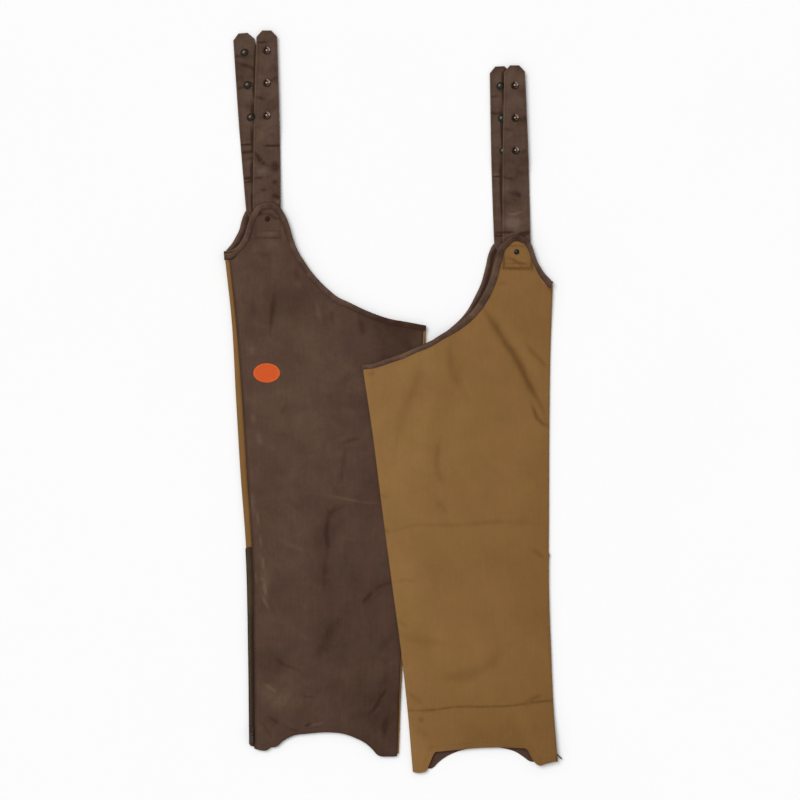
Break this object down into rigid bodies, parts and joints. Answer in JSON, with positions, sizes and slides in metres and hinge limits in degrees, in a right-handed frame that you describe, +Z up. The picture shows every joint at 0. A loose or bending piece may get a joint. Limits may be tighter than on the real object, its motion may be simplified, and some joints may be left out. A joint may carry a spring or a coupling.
{
  "type": "pair of field chaps",
  "caption": "Pair of brown and tan canvas field chaps with snap straps and lower side zips, laid flat with one leg turned over on the other.",
  "frame": {"origin": "centre of the underside of the laid-out pair's bounding box, on the surface that it lies on", "axes": "+Y from the hems to the strap ends, +X to the right as seen from above, +Z up from the surface"},
  "size_m": [0.5966, 1.3134, 0.0179],
  "materials": {
    "brown_canvas": "waxed canvas, low sheen",
    "tan_canvas": "waxed canvas, low sheen",
    "strap_canvas": "doubled canvas, matt",
    "binding_tape": "folded tape, matt",
    "gunmetal": "dark gunmetal plating, polished",
    "zip_tape": "woven tape, matt",
    "orange_thread": "dense embroidery, slight sheen"
  },
  "bodies": {
    "root": {"leg_a_front_panel": "brown_canvas", "leg_a_back_panel": "tan_canvas", "leg_a_front_binding_outer": "binding_tape", "leg_a_front_binding_inner": "binding_tape", "leg_a_back_binding_outer": "binding_tape", "leg_a_back_binding_inner": "binding_tape", "leg_a_front_strap": "strap_canvas", "leg_a_back_strap": "strap_canvas", "leg_a_front_snap_1": "gunmetal", "leg_a_front_snap_2": "gunmetal", "leg_a_front_snap_3": "gunmetal", "leg_a_back_snap_1": "gunmetal", "leg_a_back_snap_2": "gunmetal", "leg_a_back_snap_3": "gunmetal", "leg_a_front_rivet": "gunmetal", "leg_a_back_rivet": "gunmetal", "leg_a_zip_tape": "zip_tape", "leg_a_zip_slider": "gunmetal", "leg_a_patch": "orange_thread", "leg_b_front_panel": "brown_canvas", "leg_b_back_panel": "tan_canvas", "leg_b_front_binding_outer": "binding_tape", "leg_b_front_binding_inner": "binding_tape", "leg_b_back_binding_outer": "binding_tape", "leg_b_back_binding_inner": "binding_tape", "leg_b_front_strap": "strap_canvas", "leg_b_back_strap": "strap_canvas", "leg_b_front_snap_1": "gunmetal", "leg_b_front_snap_2": "gunmetal", "leg_b_front_snap_3": "gunmetal", "leg_b_back_snap_1": "gunmetal", "leg_b_back_snap_2": "gunmetal", "leg_b_back_snap_3": "gunmetal", "leg_b_front_rivet": "gunmetal", "leg_b_back_rivet": "gunmetal", "leg_b_zip_tape": "zip_tape", "leg_b_zip_slider": "gunmetal"},
    "pull_a": {"leg_a_zip_pull": "gunmetal"},
    "pull_b": {"leg_b_zip_pull": "gunmetal"}
  },
  "joints": [
    {"name": "pull_a_hinge", "type": "hinge", "parent": "root", "child": "pull_a", "pos_m": [-0.25118, -0.58709, 0.01054], "axis": [-1, 0, 0], "range_deg": [0, 170]},
    {"name": "pull_b_hinge", "type": "hinge", "parent": "root", "child": "pull_b", "pos_m": [0.28645, -0.62109, 0.00471], "axis": [0, 0, 1], "range_deg": [-45, 130]}
  ]
}
